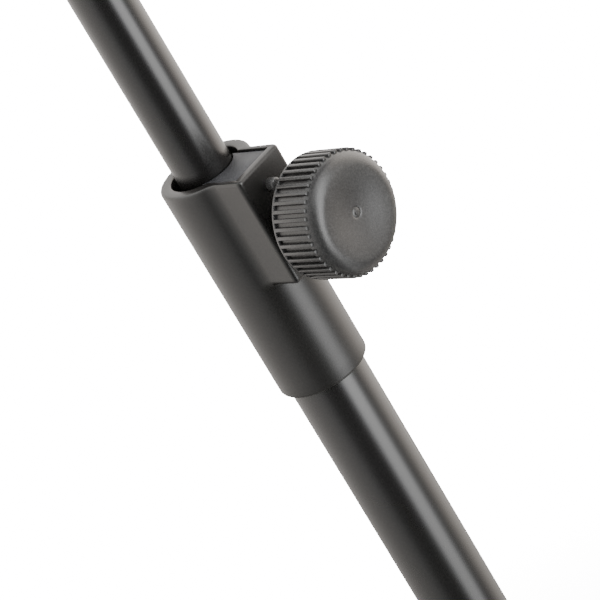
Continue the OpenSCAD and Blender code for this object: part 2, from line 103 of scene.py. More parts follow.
def tint(level, warm=0.0):
    return (level * (1 + warm), level, level * (1 - warm), 1)


ROOM_LIGHT = 6.0
WHITE_LIGHT = 18.0


def make_world():
    """White to the eye, with a soft studio round the object.

    It is dark by the camera, has a bright strip at its right, and broad light at its left and behind.
    Each stop is (angle round from the camera in degrees, level, warmth).
    """
    world = bpy.data.worlds.new("studio")
    bpy.context.scene.world = world
    world.use_nodes = True
    tree = world.node_tree
    tree.nodes.clear()
    out = node(tree, "ShaderNodeOutputWorld")
    where = node(tree, "ShaderNodeTexCoord")
    turn = node(tree, "ShaderNodeMapping")
    turn.inputs["Rotation"].default_value = (0, 0, math.radians(90) - CAMERA_AZIMUTH)
    link(tree, where.outputs["Generated"], turn.inputs["Vector"])
    around = node(tree, "ShaderNodeTexGradient", gradient_type="RADIAL")
    link(tree, turn.outputs["Vector"], around.inputs["Vector"])
    ring = node(tree, "ShaderNodeValToRGB")
    ring.color_ramp.interpolation = "B_SPLINE"
    stops = (
        (-180, 0.20, 0.03), (-135, 0.22, 0.05), (-105, 0.28, 0.05), (-60, 0.19, 0.03),
        (-42, 0.15, 0.0), (-26, 0.015, 0.0), (8, 0.008, 0.0), (27, 0.04, 0.0),
        (37, 4.8, -0.02), (44, 4.8, -0.02), (54, 0.10, 0.0), (76, 0.08, 0.04),
        (96, 0.40, 0.08), (118, 0.50, 0.08), (140, 0.34, 0.06), (179, 0.20, 0.03),
    )
    ramp = ring.color_ramp.elements
    for spot, (angle, level, warm) in zip((ramp[0], ramp[1]), (stops[0], stops[-1])):
        spot.position, spot.color = (angle + 180) / 360, tint(level, warm)
    for angle, level, warm in stops[1:-1]:
        stop = ramp.new(angle / 360 + 0.5)
        stop.color = tint(level, warm)
    link(tree, around.outputs["Fac"], ring.inputs["Fac"])
    parts = node(tree, "ShaderNodeSeparateXYZ")
    link(tree, where.outputs["Generated"], parts.inputs[0])
    sky = node(tree, "ShaderNodeMapRange", interpolation_type="SMOOTHSTEP")
    sky.inputs["From Min"].default_value = 0.60
    sky.inputs["From Max"].default_value = 0.80
    link(tree, parts.outputs["Z"], sky.inputs["Value"])
    low = node(tree, "ShaderNodeMapRange", interpolation_type="SMOOTHSTEP")
    low.inputs["From Min"].default_value = -0.64
    low.inputs["From Max"].default_value = -0.20
    low.inputs["To Min"].default_value = 0.35
    low.inputs["To Max"].default_value = 1.65
    link(tree, parts.outputs["Z"], low.inputs["Value"])
    shaded = node(tree, "ShaderNodeVectorMath", operation="SCALE")
    link(tree, ring.outputs["Color"], shaded.inputs[0])
    link(tree, low.outputs["Result"], shaded.inputs["Scale"])
    lift = node(tree, "ShaderNodeMix", data_type="RGBA")
    lift.inputs[7].default_value = tint(0.55)
    link(tree, sky.outputs["Result"], lift.inputs[0])
    link(tree, shaded.outputs["Vector"], lift.inputs[6])
    room = node(tree, "ShaderNodeBackground")
    room.inputs["Strength"].default_value = ROOM_LIGHT
    link(tree, lift.outputs[2], room.inputs["Color"])
    white = node(tree, "ShaderNodeBackground")
    white.inputs["Color"].default_value = (1, 1, 1, 1)
    white.inputs["Strength"].default_value = WHITE_LIGHT
    seen = node(tree, "ShaderNodeLightPath")
    mix = node(tree, "ShaderNodeMixShader")
    link(tree, seen.outputs["Is Camera Ray"], mix.inputs[0])
    link(tree, room.outputs[0], mix.inputs[1])
    link(tree, white.outputs[0], mix.inputs[2])
    link(tree, mix.outputs[0], out.inputs["Surface"])


def make_floor():
    """A wide pale floor that turns to plain white away from the stand."""
    size = 30
    mesh = bpy.data.meshes.new("floor")
    corners = [(-size, -size, 0), (size, -size, 0), (size, size, 0), (-size, size, 0)]
    mesh.from_pydata(corners, [], [(0, 1, 2, 3)])
    floor = bpy.data.objects.new("floor", mesh)
    bpy.context.scene.collection.objects.link(floor)
    floor.visible_glossy = False
    material = bpy.data.materials.new("floor_white")
    material.use_nodes = True
    tree = material.node_tree
    surface = tree.nodes["Principled BSDF"]
    surface.inputs["Base Color"].default_value = (0.82, 0.82, 0.81, 1)
    surface.inputs["Roughness"].default_value = 0.9
    surface.inputs["Specular IOR Level"].default_value = 0.1
    where = node(tree, "ShaderNodeTexCoord")
    far = node(tree, "ShaderNodeVectorMath", operation="LENGTH")
    link(tree, where.outputs["Object"], far.inputs[0])
    ramp = node(tree, "ShaderNodeMapRange", interpolation_type="SMOOTHSTEP")
    ramp.inputs["From Min"].default_value = 0.25
    ramp.inputs["From Max"].default_value = 1.0
    ramp.inputs["To Min"].default_value = 0.12
    link(tree, far.outputs["Value"], ramp.inputs["Value"])
    seen = node(tree, "ShaderNodeLightPath")
    glow = node(tree, "ShaderNodeMath", operation="MULTIPLY")
    link(tree, ramp.outputs["Result"], glow.inputs[0])
    link(tree, seen.outputs["Is Camera Ray"], glow.inputs[1])
    strength = node(tree, "ShaderNodeMath", operation="MULTIPLY")
    strength.inputs[1].default_value = WHITE_LIGHT
    link(tree, glow.outputs[0], strength.inputs[0])
    surface.inputs["Emission Color"].default_value = (1, 1, 1, 1)
    link(tree, strength.outputs[0], surface.inputs["Emission Strength"])
    mesh.materials.append(material)


def soft_box(name, place, aim, width, height, power):
    data = bpy.data.lights.new(name, "AREA")
    data.shape = "RECTANGLE"
    data.size = width
    data.size_y = height
    data.energy = power
    lamp = bpy.data.objects.new(name, data)
    lamp.location = place
    lamp.rotation_euler = (Vector(aim) - Vector(place)).to_track_quat("-Z", "Y").to_euler()
    lamp.visible_camera = False
    bpy.context.scene.collection.objects.link(lamp)


make_world()
make_floor()
soft_box("overhead", (0.2, -0.3, 3.2), (0, 0, 0.4), 2.2, 2.2, 40)

# ---------------------------------------------------------------- finishes


def socket(group, name, kind, way, value=None):
    made = group.interface.new_socket(name=name, in_out=way, socket_type=kind)
    if value is not None:
        made.default_value = value
    return made


def make_grain_group():
    """Fine moulded or sprayed grain: a small height for the bump and a mask that varies with it."""
    group = bpy.data.node_groups.new("surface_grain", "ShaderNodeTree")
    socket(group, "Grain Size", "NodeSocketFloat", "INPUT", 0.4)
    socket(group, "Peel Size", "NodeSocketFloat", "INPUT", 2.5)
    socket(group, "Peel Share", "NodeSocketFloat", "INPUT", 0.3)
    socket(group, "Height", "NodeSocketFloat", "OUTPUT")
    socket(group, "Speckle", "NodeSocketFloat", "OUTPUT")
    start = node(group, "NodeGroupInput")
    end = node(group, "NodeGroupOutput")
    where = node(group, "ShaderNodeTexCoord")

    def noise(size, detail, rough):
        scale = node(group, "ShaderNodeMath", operation="DIVIDE")
        scale.inputs[0].default_value = 1000
        link(group, size, scale.inputs[1])
        made = node(group, "ShaderNodeTexNoise")
        made.inputs["Detail"].default_value = detail
        made.inputs["Roughness"].default_value = rough
        link(group, where.outputs["Object"], made.inputs["Vector"])
        link(group, scale.outputs[0], made.inputs["Scale"])
        return made.outputs["Fac"]

    fine = noise(start.outputs["Grain Size"], 2, 0.6)
    peel = noise(start.outputs["Peel Size"], 1, 0.5)
    both = node(group, "ShaderNodeMix", data_type="FLOAT")
    link(group, start.outputs["Peel Share"], both.inputs[0])
    link(group, fine, both.inputs[2])
    link(group, peel, both.inputs[3])
    link(group, both.outputs[0], end.inputs["Height"])
    sharp = node(group, "ShaderNodeMapRange", interpolation_type="SMOOTHSTEP")
    sharp.inputs["From Min"].default_value = 0.42
    sharp.inputs["From Max"].default_value = 0.68
    link(group, fine, sharp.inputs["Value"])
    link(group, sharp.outputs["Result"], end.inputs["Speckle"])
    return group


def make_use_group():
    """Traces of use: broad cloudy patches where hands and dust have been, and rare fine scratches."""
    group = bpy.data.node_groups.new("traces_of_use", "ShaderNodeTree")
    socket(group, "Patch Size", "NodeSocketFloat", "INPUT", 40.0)
    socket(group, "Scratch Amount", "NodeSocketFloat", "INPUT", 0.3)
    socket(group, "Patches", "NodeSocketFloat", "OUTPUT")
    socket(group, "Scratches", "NodeSocketFloat", "OUTPUT")
    start = node(group, "NodeGroupInput")
    end = node(group, "NodeGroupOutput")
    where = node(group, "ShaderNodeTexCoord")
    scale = node(group, "ShaderNodeMath", operation="DIVIDE")
    scale.inputs[0].default_value = 1000
    link(group, start.outputs["Patch Size"], scale.inputs[1])
    cloud = node(group, "ShaderNodeTexNoise")
    cloud.inputs["Detail"].default_value = 3
    link(group, where.outputs["Object"], cloud.inputs["Vector"])
    link(group, scale.outputs[0], cloud.inputs["Scale"])
    link(group, cloud.outputs["Fac"], end.inputs["Patches"])
    stretch = node(group, "ShaderNodeMapping")
    stretch.inputs["Rotation"].default_value = (0.5, 0.3, 0.8)
    stretch.inputs["Scale"].default_value = (900, 900, 25)
    link(group, where.outputs["Object"], stretch.inputs["Vector"])
    lines = node(group, "ShaderNodeTexNoise")
    lines.inputs["Scale"].default_value = 1
    lines.inputs["Detail"].default_value = 1
    link(group, stretch.outputs["Vector"], lines.inputs["Vector"])
    thin = node(group, "ShaderNodeMapRange", interpolation_type="SMOOTHSTEP")
    thin.inputs["From Min"].default_value = 0.74
    thin.inputs["From Max"].default_value = 0.80
    link(group, lines.outputs["Fac"], thin.inputs["Value"])
    amount = node(group, "ShaderNodeMath", operation="MULTIPLY")
    link(group, thin.outputs["Result"], amount.inputs[0])
    link(group, start.outputs["Scratch Amount"], amount.inputs[1])
    link(group, amount.outputs[0], end.inputs["Scratches"])
    return group


grain_group = make_grain_group()
use_group = make_use_group()


def finish(name, dark, light, rough, grain=0.4, peel=2.5, peel_share=0.3, depth=0.02, patch=40.0,
           scratches=0.3, speckle=0.5, metallic=0.0):
    """One opaque finish. Sizes are in millimetres, rough is (low, high), depth is the grain's height."""
    material = bpy.data.materials.new(name)
    material.use_nodes = True
    tree = material.node_tree
    surface = tree.nodes["Principled BSDF"]
    surface.inputs["Metallic"].default_value = metallic
    texture = node(tree, "ShaderNodeGroup", node_tree=grain_group)
    texture.inputs["Grain Size"].default_value = grain
    texture.inputs["Peel Size"].default_value = peel
    texture.inputs["Peel Share"].default_value = peel_share
    wear = node(tree, "ShaderNodeGroup", node_tree=use_group)
    wear.inputs["Patch Size"].default_value = patch
    wear.inputs["Scratch Amount"].default_value = scratches
    amount = node(tree, "ShaderNodeMath", operation="MULTIPLY")
    amount.inputs[1].default_value = speckle
    link(tree, texture.outputs["Speckle"], amount.inputs[0])
    plus = node(tree, "ShaderNodeMath", operation="ADD", use_clamp=True)
    link(tree, amount.outputs[0], plus.inputs[0])
    link(tree, wear.outputs["Scratches"], plus.inputs[1])
    colour = node(tree, "ShaderNodeMix", data_type="RGBA")
    colour.inputs[6].default_value = tuple(dark) + (1,)
    colour.inputs[7].default_value = tuple(light) + (1,)
    link(tree, plus.outputs[0], colour.inputs[0])
    link(tree, colour.outputs[2], surface.inputs["Base Color"])
    spread = node(tree, "ShaderNodeMapRange")
    spread.inputs["From Min"].default_value = 0.3
    spread.inputs["From Max"].default_value = 0.7
    spread.inputs["To Min"].default_value = rough[0]
    spread.inputs["To Max"].default_value = rough[1]
    link(tree, wear.outputs["Patches"], spread.inputs["Value"])
    link(tree, spread.outputs["Result"], surface.inputs["Roughness"])
    bump = node(tree, "ShaderNodeBump")
    bump.inputs["Strength"].default_value = 1.0
    bump.inputs["Distance"].default_value = depth * MM
    link(tree, texture.outputs["Height"], bump.inputs["Height"])
    link(tree, bump.outputs["Normal"], surface.inputs["Normal"])
    return material


def grey(level, warm=0.0):
    return (level * (1 + warm), level, level * (1 - warm))


BLACK_PAINT = finish(
    "black_paint", grey(0.005, 0.04), grey(0.010, 0.04), (0.24, 0.29), grain=0.5, peel=1.6, peel_share=0.4,
    depth=0.006, patch=60, scratches=0.35, speckle=0.15)
COLLAR_BLACK = finish(
    "collar_black", grey(0.006, 0.06), grey(0.012, 0.06), (0.33, 0.38), grain=0.25, peel=1.2, depth=0.004,
    patch=30, scratches=0.15, speckle=0.2)
KNOB_BLACK = finish(
    "knob_black", grey(0.009), grey(0.034), (0.30, 0.38), grain=0.30, peel=1.4, peel_share=0.2, depth=0.05,
    patch=15, scratches=0.15, speckle=0.6)
BLOCK_GREY = finish(
    "block_grey", (0.016, 0.017, 0.020), (0.055, 0.058, 0.064), (0.5, 0.6), grain=0.35, peel=1.0, depth=0.03,
    patch=10, scratches=0.2, speckle=0.8)
DESK_BLACK = finish(
    "desk_black", grey(0.016), grey(0.034), (0.42, 0.52), grain=0.7, peel=2.2, peel_share=0.5, depth=0.02,
    patch=90, scratches=0.35, speckle=0.25)
RUBBER = finish(
    "foot_rubber", grey(0.012), grey(0.03), (0.68, 0.8), grain=0.5, depth=0.02, patch=12, scratches=0.1)
ZINC = finish(
    "zinc_steel", (0.45, 0.46, 0.48), (0.66, 0.66, 0.66), (0.25, 0.38), grain=0.3, depth=0.004, patch=6,
    scratches=0.4, speckle=0.4, metallic=1.0)
# Dark steel finish. It is also put on the zinc keeper pin, where its darkness is painted shade, not the
# zinc's own colour.
DARK_STEEL_AND_PAINTED_SHADE = finish(
    "dark_steel", grey(0.03), grey(0.07), (0.35, 0.45), grain=0.3, depth=0.004, patch=5, speckle=0.3)
BRASS = finish(
    "turned_brass", (0.62, 0.43, 0.18), (0.80, 0.60, 0.30), (0.25, 0.36), grain=0.3, depth=0.004, patch=5,
    speckle=0.4, metallic=1.0)
NYLON = finish(
    "white_nylon", (0.55, 0.55, 0.52), (0.72, 0.72, 0.70), (0.4, 0.5), grain=0.5, depth=0.01, patch=8,
    speckle=0.4)
DARK_NYLON = finish(
    "dark_nylon", grey(0.015), grey(0.03), (0.5, 0.6), grain=0.5, depth=0.01, patch=8, speckle=0.4)

SLOT_FINISH = {
    "black_paint": BLACK_PAINT,
    "black_plastic": COLLAR_BLACK,
    "knob_plastic": KNOB_BLACK,
    "block_plastic": BLOCK_GREY,
    "zinc": ZINC,
    "dark_steel": DARK_STEEL_AND_PAINTED_SHADE,
    "brass": BRASS,
    "nylon": NYLON,
    "foot_rubber": RUBBER,
}

# ---------------------------------------------------------------- mesh tools


def new_object(name, mesh, material):
    made = bpy.data.objects.new(name, mesh)
    bpy.context.scene.collection.objects.link(made)
    mesh.materials.clear()
    mesh.materials.append(material)
    return made


def shade(mesh, angle=35):
    """Smooth faces, with edges sharper than angle kept crisp."""
    mesh.shade_smooth()
    work = bmesh.new()
    work.from_mesh(mesh)
    for edge in work.edges:
        edge.smooth = len(edge.link_faces) == 2 and edge.calc_face_angle(0) < math.radians(angle)
    work.to_mesh(mesh)
    work.free()


def close_up(work, turn=None):
    """Merges what meets, turns the faces outwards and moves the mesh to its place."""
    bmesh.ops.remove_doubles(work, verts=work.verts, dist=2e-6)
    bmesh.ops.dissolve_degenerate(work, edges=work.edges, dist=1e-7)
    bmesh.ops.recalc_face_normals(work, faces=work.faces)
    if turn is not None:
        work.transform(turn)


def mesh_from(work, name):
    mesh = bpy.data.meshes.new(name)
    work.to_mesh(mesh)
    work.free()
    return mesh


def apply_modifiers(made):
    """Turns the object with its modifiers into one plain mesh."""
    bpy.context.view_layer.update()
    result = bpy.data.meshes.new_from_object(made.evaluated_get(bpy.context.evaluated_depsgraph_get()))
    made.modifiers.clear()
    made.data = result
    return made


def rounded(points, steps=5, loop=True):
    """A path of (x, y, radius) corners, with an arc of that radius at each."""
    path = []
    count = len(points)
    for i, (x, y, radius) in enumerate(points):
        here = Vector((x, y))
        if radius <= 0 or (not loop and i in (0, count - 1)):
            path.append(here)
            continue
        before = (Vector(points[i - 1][:2]) - here)
        after = (Vector(points[(i + 1) % count][:2]) - here)
        a, b = before.normalized(), after.normalized()
        half = math.acos(max(-1, min(1, a.dot(b)))) / 2
        reach = min(radius / math.tan(half), before.length * 0.499, after.length * 0.499)
        radius = reach * math.tan(half)
        centre = here + (a + b).normalized() * (radius / math.sin(half))
        start, end = here + a * reach - centre, here + b * reach - centre
        sweep = start.angle_signed(end)
        for k in range(steps + 1):
            turn = Matrix.Rotation(-sweep * k / steps, 2)
            path.append(centre + turn @ start)
    return path


def lathe(profile, segments=96, turn=None):
    """Turns a closed profile of (radius, height) round Z. A radius of 0 becomes a pole."""
    work = bmesh.new()
    rings = []
    for r, z in profile:
        if r < 1e-7:
            rings.append([work.verts.new((0, 0, z))])
        else:
            rings.append([work.verts.new((r * math.cos(a), r * math.sin(a), z))
                          for a in (2 * math.pi * k / segments for k in range(segments))])
    for one, two in zip(rings, rings[1:] + rings[:1]):
        if len(one) == 1 and len(two) == 1:
            continue
        for k in range(segments):
            n = (k + 1) % segments
            corners = [one[k % len(one)], one[n % len(one)], two[n % len(two)], two[k % len(two)]]
            corners = [v for i, v in enumerate(corners) if v not in corners[:i]]
            if len(corners) > 2:
                work.faces.new(corners)
    close_up(work, turn)
    return work


def slab(outline, low, high, turn=None):
    """A flat outline raised from low to high."""
    work = bmesh.new()
    bottom = [work.verts.new((p[0], p[1], low)) for p in outline]
    top = [work.verts.new((p[0], p[1], high)) for p in outline]
    work.faces.new(bottom[::-1])
    work.faces.new(top)
    for i in range(len(outline)):
        n = (i + 1) % len(outline)
        work.faces.new((bottom[i], bottom[n], top[n], top[i]))
    close_up(work, turn)
    return work


def joined(*works):
    """Several meshes in one."""
    whole = bmesh.new()
    for work in works:
        part = bpy.data.meshes.new("part")
        work.to_mesh(part)
        work.free()
        whole.from_mesh(part)
        bpy.data.meshes.remove(part)
    return whole


def soften(made, width, segments=3, angle=40):
    bevel = made.modifiers.new("soft_edges", "BEVEL")
    bevel.width = width
    bevel.segments = segments
    bevel.limit_method = "ANGLE"
    bevel.angle_limit = math.radians(angle)
    bevel.harden_normals = False
    return apply_modifiers(made)


def piece(name, work, material, body, *nodes, slot=None, angle=35, bevel=None):
    """A finished piece that rides on a body and stands for CAD nodes."""
    made = new_object(name, mesh_from(work, name), material)
    if bevel:
        soften(made, *bevel)
    shade(made.data, angle)
    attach(made, body)
    if nodes:
        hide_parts(*nodes)
    return made


def facing(direction, place):
    """Carries Z onto a direction, at a place."""
    return Matrix.Translation(place) @ Vector(direction).to_track_quat("Z", "Y").to_matrix().to_4x4()


# ---------------------------------------------------------------- column


def tube_work(node_name, wall):
    low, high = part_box(node_name)
    r = (high.x - low.x) / 2
    soft = 0.4 * MM
    return lathe([tuple(p) for p in rounded([
        (r - wall, low.z, soft), (r, low.z, soft), (r, high.z, soft), (r - wall, high.z, soft),
    ], 4)], 128)


for tube, wall, body in (("lower_tube", 1.5 * MM, "column"), ("upper_tube", 1.2 * MM, "mast")):
    piece(tube + "_skin", tube_work(tube, wall), BLACK_PAINT, body, tube, slot="black_paint")

# ---------------------------------------------------------------- clamp collar

HOUSING_W = 20 * MM
HOUSING_REACH = 23.5 * MM
HOUSING_LEN = 37 * MM
POCKET_W = 16 * MM
POCKET_FRONT = 20.5 * MM
POCKET_DEEP = 34 * MM
collar_r = (collar_high.x - collar_low.x) / 2
mouth_r = 11.2 * MM
grip_r = 12.55 * MM
grip_len = 37 * MM


def smooth_least(a, b, k):
    """The smaller of two distances, blended over k where they are close."""
    h = np.clip(0.5 + 0.5 * (b - a) / k, 0, 1)
    return b * (1 - h) + a * h - k * h * (1 - h)


def collar_distance(x, y, z):
    """Distance outside the collar's sleeve and its housing, blended into each other."""
    sleeve = np.hypot(x, y) - collar_r
    corner = 1.5 * MM
    foot = 1.6 * MM
    top = collar_high.z + 10 * MM
    bottom = collar_high.z - HOUSING_LEN
    qx = np.abs(x) - (HOUSING_W / 2 - corner)
    qy = np.abs(y + HOUSING_REACH / 2) - (HOUSING_REACH / 2 - corner)
    across = np.hypot(np.maximum(qx, 0), np.maximum(qy, 0)) + np.minimum(np.maximum(qx, qy), 0) - corner
    down = bottom - z
    ax, dn = across + foot, down + foot
    box = np.hypot(np.maximum(ax, 0), np.maximum(dn, 0)) + np.minimum(np.maximum(ax, dn), 0) - foot
    return smooth_least(sleeve, box, 1.9 * MM)


def collar_reach(angles, z):
    """How far the collar's outside stands from the axis, for each direction, at one height."""
    low = np.full(len(angles), collar_r * 0.9)
    high = np.full(len(angles), HOUSING_REACH * 1.5)
    for _ in range(36):
        mid = (low + high) / 2
        outside = collar_distance(mid * np.cos(angles), mid * np.sin(angles), z) > 0
        high = np.where(outside, mid, high)
        low = np.where(outside, low, mid)
    return (low + high) / 2


def pocket_reach(angles):
    """The wall of the mouth and of the pocket that opens from it, for each direction."""
    c, s = np.cos(angles), np.sin(angles)
    side = np.where(np.abs(c) > 1e-9, POCKET_W / 2 / np.maximum(np.abs(c), 1e-9), 1)
    front = np.where(s < -1e-9, POCKET_FRONT / np.maximum(-s, 1e-9), 0)
    box = np.where(s < 0, np.minimum(side, front), 0)
    return np.maximum(box, mouth_r)


def collar_angles():
    """Directions round the collar, closer together where a corner turns."""
    corners = [math.atan2(-HOUSING_REACH, HOUSING_W / 2), math.atan2(-HOUSING_REACH, -HOUSING_W / 2),
               math.atan2(-POCKET_FRONT, POCKET_W / 2), math.atan2(-POCKET_FRONT, -POCKET_W / 2),
               math.atan2(-math.sqrt(mouth_r ** 2 - (POCKET_W / 2) ** 2), POCKET_W / 2),
               math.atan2(-math.sqrt(mouth_r ** 2 - (POCKET_W / 2) ** 2), -POCKET_W / 2),
               math.atan2(-collar_r * 0.75, HOUSING_W / 2), math.atan2(-collar_r * 0.75, -HOUSING_W / 2)]
    fine = np.linspace(-math.pi, math.pi, 4001)[:-1]
    weight = np.ones(len(fine))
    for c in corners:
        weight += 7 * np.exp(-((fine - c) / 0.09) ** 2)
    total = np.concatenate([[0], np.cumsum(weight)])
    count = 360
    picks = np.interp(np.arange(count) * total[-1] / count, total, np.concatenate([fine, [math.pi]]))
    for c in corners[2:6]:
        picks[np.abs(picks - c).argmin()] = c
    return picks


def collar_work():
    """The outside goes up, over the rim, down the mouth and pocket and back down the sleeve's bore."""
    angles = collar_angles()
    rim = 1.0 * MM
    lip = 0.5 * MM
    z0, z1 = collar_low.z, collar_high.z
    foot_z = z1 - HOUSING_LEN
    levels = sorted(set(
        [round(z, 7) for z in np.linspace(z0 + rim, foot_z - 3 * MM, 10)]
        + [round(z, 7) for z in np.linspace(foot_z - 3 * MM, foot_z + 6 * MM, 30)]
        + [round(z, 7) for z in np.linspace(foot_z + 6 * MM, z1 - rim, 14)]))
    outside = {z: collar_reach(angles, z) for z in levels}
    inner = pocket_reach(angles)
    bore = np.full(len(angles), mouth_r)
    grip = np.full(len(angles), grip_r)
    rings = []
    arc = [math.radians(a) for a in (90, 70, 50, 30, 12)]
    for a in arc:
        rings.append((outside[levels[0]] - rim * (1 - math.cos(a)), z0 + rim * (1 - math.sin(a))))
    for z in levels:
        rings.append((outside[z], z))
    top = outside[levels[-1]]
    for a in arc[::-1]:
        rings.append((top - rim * (1 - math.cos(a)), z1 - rim * (1 - math.sin(a))))
    for a in (90, 60, 30, 0):
        a = math.radians(a)
        rings.append((inner + lip * (1 - math.cos(a)), z1 - lip * (1 - math.sin(a))))
    pocket_floor = z1 - POCKET_DEEP
    rings.append((inner, z1 - 4 * MM))
    rings.append((inner, pocket_floor))
    rings.append((bore, pocket_floor))
    rings.append((bore, z0 + grip_len))
    rings.append((grip, z0 + grip_len))
    rings.append((grip, z0 + 0.9 * MM))
    rings.append((grip + 0.6 * MM, z0))
    work = bmesh.new()
    made = []
    for r, z in rings:
        made.append([work.verts.new((d * math.cos(a), d * math.sin(a), z)) for d, a in zip(r, angles)])
    for one, two in zip(made, made[1:] + made[:1]):
        for k in range(len(angles)):
            n = (k + 1) % len(angles)
            work.faces.new((one[k], one[n], two[n], two[k]))
    close_up(work)
    return work


screw_low, screw_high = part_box("clamp_screw")
screw_z = (screw_low.z + screw_high.z) / 2
knob_low, knob_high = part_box("clamp_knob")
FRONT = Vector((0, -1, 0))


NOSE_R = 7.5 * MM
NOSE_BORE_R = 4.1 * MM
NOSE_LEN = 8 * MM


def nose_work():
    """The round nose on the housing's front, which the clamp screw passes through."""
    nose = rounded([(NOSE_BORE_R, 0, 0), (NOSE_R, 0, 0), (NOSE_R, NOSE_LEN, 0.8 * MM),
                    (NOSE_BORE_R, NOSE_LEN, 0.4 * MM)], 4)
    return lathe([tuple(p) for p in nose], 64, facing(FRONT, (0, -HOUSING_REACH + 0.05 * MM, screw_z)))


piece("collar_body", collar_work(), COLLAR_BLACK, "column", "clamp_collar", slot="black_plastic", angle=50)
piece("collar_nose", nose_work(), COLLAR_BLACK, "column", slot="black_plastic")



def keeper_work():
    """A small pin with a domed end that stands out of the housing's front."""
    low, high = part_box("keeper_pin")
    r = (high.x - low.x) / 2
    length = high.y - low.y
    outline = rounded([(r, 0, 0), (r, length, 0.9 * r), (0, length, 0)], 6, loop=False)
    return lathe([(0, 0)] + [tuple(p) for p in outline], 32, facing(FRONT, (0, high.y, (low.z + high.z) / 2)))


# Painted shade: the zinc keeper pin gets the dark steel finish so that it reads as shaded, not with the
# zinc's own bright colour.
piece("keeper_pin_body", keeper_work(), DARK_STEEL_AND_PAINTED_SHADE, "column", "keeper_pin", slot="zinc")

# ---------------------------------------------------------------- clamp block


BLOCK_HOLLOW_R = 9.35 * MM


def block_work():
    """The block that the screw presses on the upper tube, hollow on the tube's side."""
    low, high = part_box("clamp_block")
    r = BLOCK_HOLLOW_R
    half = high.x
    start = math.acos(half / r)
    arc = [(r * math.cos(-a), r * math.sin(-a)) for a in np.linspace(start, math.pi - start, 25)]
    outline = [(half, low.y), *arc, (-half, low.y)]
    return slab(outline, low.z, high.z)


piece("clamp_block_body", block_work(), BLOCK_GREY, "height_block", "clamp_block", slot="block_plastic",
      bevel=(0.35 * MM, 2, 50))

# ---------------------------------------------------------------- knobs

KNOB_RIBS = 46
RIB_SHARE = 0.42
BAND = 13.5 * MM
COVER = 3.2 * MM
SHOULDER = 4.5 * MM
RIB_START = 0.9 * MM
RIB_DEPTH = 0.75 * MM
RIB_ROOT = 0.4 * MM
GROOVE_DEPTH = 0.3 * MM
DISH = 1.1 * MM
RIM = 5.2 * MM
WEB = 4.5 * MM
HUB_R = 8 * MM
HUB_WALL = 3.8 * MM
HUB_BACK = 0.2 * MM
INSIDE = 3.6 * MM


def new_tree(name, *inputs):
    """A Geometry Nodes tree with inputs (name, kind, value) and a finish, given with its row of inputs."""
    tree = bpy.data.node_groups.new(name, "GeometryNodeTree")
    socket(tree, "Geometry", "NodeSocketGeometry", "INPUT")
    for key, kind, value in inputs:
        socket(tree, key, "NodeSocket" + kind, "INPUT", value)
    socket(tree, "Finish", "NodeSocketMaterial", "INPUT")
    socket(tree, "Geometry", "NodeSocketGeometry", "OUTPUT")
    return tree, node(tree, "NodeGroupInput").outputs


def end_tree(tree, start, geometry):
    """Makes what the tree has placed real, and gives it its finish."""
    real = node(tree, "GeometryNodeRealizeInstances")
    link(tree, geometry, real.inputs[0])
    coat = node(tree, "GeometryNodeSetMaterial")
    link(tree, real.outputs[0], coat.inputs["Geometry"])
    link(tree, start["Finish"], coat.inputs["Material"])
    link(tree, coat.outputs[0], node(tree, "NodeGroupOutput").inputs[0])
    return tree


def copies(tree, source, points):
    """Puts a copy of an object on each point."""
    shape = node(tree, "GeometryNodeObjectInfo")
    link(tree, source, shape.inputs["Object"])
    put = node(tree, "GeometryNodeInstanceOnPoints")
    link(tree, points, put.inputs["Points"])
    link(tree, shape.outputs["Geometry"], put.inputs["Instance"])
    return put


def rib_tree():
    """Ribs that stand round a knob's core, each one a bar along the axis."""
    tree, start = new_tree("knob_ribs", ("Rib", "Object", None), ("Count", "Int", KNOB_RIBS),
                           ("Radius", "Float", 0.018))
    ring = node(tree, "GeometryNodeMeshCircle")
    link(tree, start["Count"], ring.inputs["Vertices"])
    link(tree, start["Radius"], ring.inputs["Radius"])
    spot = node(tree, "GeometryNodeInputPosition")
    aim = node(tree, "FunctionNodeAlignRotationToVector", axis="X", pivot_axis="Z")
    link(tree, spot.outputs[0], aim.inputs["Vector"])
    put = copies(tree, start["Rib"], ring.outputs["Mesh"])
    link(tree, aim.outputs[0], put.inputs["Rotation"])
    return end_tree(tree, start, put.outputs["Instances"])


def set_input(modifier, tree, name, value):
    for item in tree.interface.items_tree:
        if item.item_type == "SOCKET" and item.in_out == "INPUT" and item.name == name:
            modifier[item.identifier] = value


def grow(name, tree, material, **values):
    """Runs a Geometry Nodes tree on an empty mesh and keeps the plain mesh that it makes."""
    base = new_object(name, bpy.data.meshes.new(name), material)
    modifier = base.modifiers.new(name, "NODES")
    modifier.node_group = tree
    for key, value in (values | {"Finish": material}).items():
        set_input(modifier, tree, key, value)
    return apply_modifiers(base)


ribs = rib_tree()


